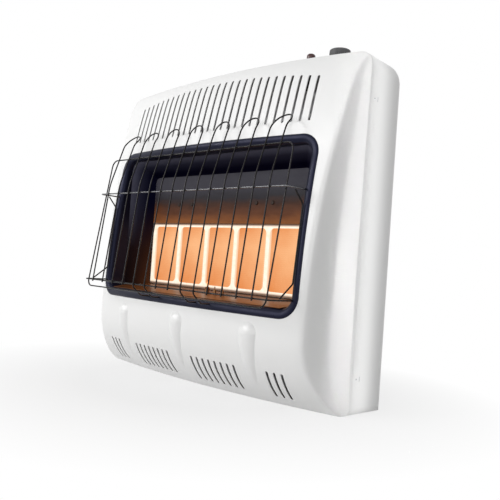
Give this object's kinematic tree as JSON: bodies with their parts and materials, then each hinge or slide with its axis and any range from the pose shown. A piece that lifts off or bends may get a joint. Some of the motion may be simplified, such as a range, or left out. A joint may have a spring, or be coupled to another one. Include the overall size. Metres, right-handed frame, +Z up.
{
  "type": "ventless gas heater",
  "caption": "Wall or floor infrared gas heater with a bowed white cabinet, glowing ceramic plaque burner behind a black wire guard, control knob and push igniter on top.",
  "frame": {"origin": "on the floor under the middle of the bounding box", "axes": "+X to the right seen from the front, +Y to the wall, +Z up; the burner faces -Y"},
  "size_m": [0.737, 0.2736, 0.7006],
  "materials": {
    "white_enamel": "gloss white stove enamel",
    "galvanised": "zinc coated sheet",
    "black_enamel": "gloss black heat proof enamel",
    "dark_steel": "satin dark heat proof paint",
    "heat_tinted_steel": "polished steel with heat tint",
    "ceramic": "perforated ceramic, glowing orange",
    "hot_steel": "thin steel frame, white hot",
    "fibre": "pressed ceramic fibre",
    "brass": "turned brass",
    "aluminium": "die cast and drawn aluminium",
    "black_plastic": "black moulded plastic",
    "red_plastic": "dark red moulded plastic",
    "bright_steel": "plated steel",
    "lead_rubber": "high voltage lead insulation",
    "guard_wire": "black coated wire"
  },
  "bodies": {
    "cabinet": {"front_panel": "white_enamel", "casing_shell": "white_enamel", "back_panel": "galvanised", "wall_bracket": "galvanised", "injector_bracket": "galvanised", "bulb_clip": "galvanised", "panel_tabs": "galvanised", "burner_plenum": "galvanised", "window_surround": "black_enamel", "firebox_liner": "black_enamel", "upper_reflector": "dark_steel", "lower_deck": "heat_tinted_steel", "pilot_bracket": "heat_tinted_steel", "burner_plaque_1": "ceramic", "burner_plaque_2": "ceramic", "burner_plaque_3": "ceramic", "burner_plaque_4": "ceramic", "burner_plaque_5": "ceramic", "plaque_frame": "hot_steel", "plaque_gasket": "fibre", "injector": "brass", "inlet_fitting": "brass", "pilot_burner": "brass", "valve_nut": "brass", "thermocouple_lead": "brass", "thermostat_bulb": "brass", "capillary_tube": "brass", "gas_valve": "aluminium", "regulator": "aluminium", "supply_tube": "aluminium", "burner_tube": "aluminium", "pilot_tube": "aluminium", "venturi_tube": "aluminium", "control_housing": "black_plastic", "igniter_body": "black_plastic", "igniter_nut": "black_plastic", "tab_rivets": "bright_steel", "reflector_screws": "bright_steel", "back_screws": "bright_steel", "spark_electrode": "bright_steel", "thermocouple": "bright_steel", "ignition_wire": "lead_rubber", "guard_hairpin_1": "guard_wire", "guard_hairpin_2": "guard_wire", "guard_hairpin_3": "guard_wire", "guard_hairpin_4": "guard_wire", "guard_hairpin_5": "guard_wire", "guard_hairpin_6": "guard_wire", "guard_hairpin_7": "guard_wire", "guard_lower_rail": "guard_wire", "guard_upper_rail": "guard_wire", "guard_perimeter": "guard_wire", "guard_clip_left": "guard_wire", "guard_clip_right": "guard_wire"},
    "push_plunger": {"valve_plunger": "brass"},
    "knob": {"control_knob": "black_plastic", "knob_spindle": "bright_steel"},
    "button": {"igniter_button": "red_plastic"}
  },
  "joints": [
    {"name": "knob_push", "type": "slide", "parent": "cabinet", "child": "push_plunger", "axis": [0, 0, -1], "range_m": [0, 0.0035], "stiffness_N_per_m": 1500},
    {"name": "knob_turn", "type": "hinge", "parent": "push_plunger", "child": "knob", "pos_m": [0.248, 0.07585, 0.69], "axis": [0, 0, 1], "range_deg": [0, 270]},
    {"name": "igniter_press", "type": "slide", "parent": "cabinet", "child": "button", "axis": [0, 0, -1], "range_m": [0, 0.007], "stiffness_N_per_m": 1200}
  ]
}
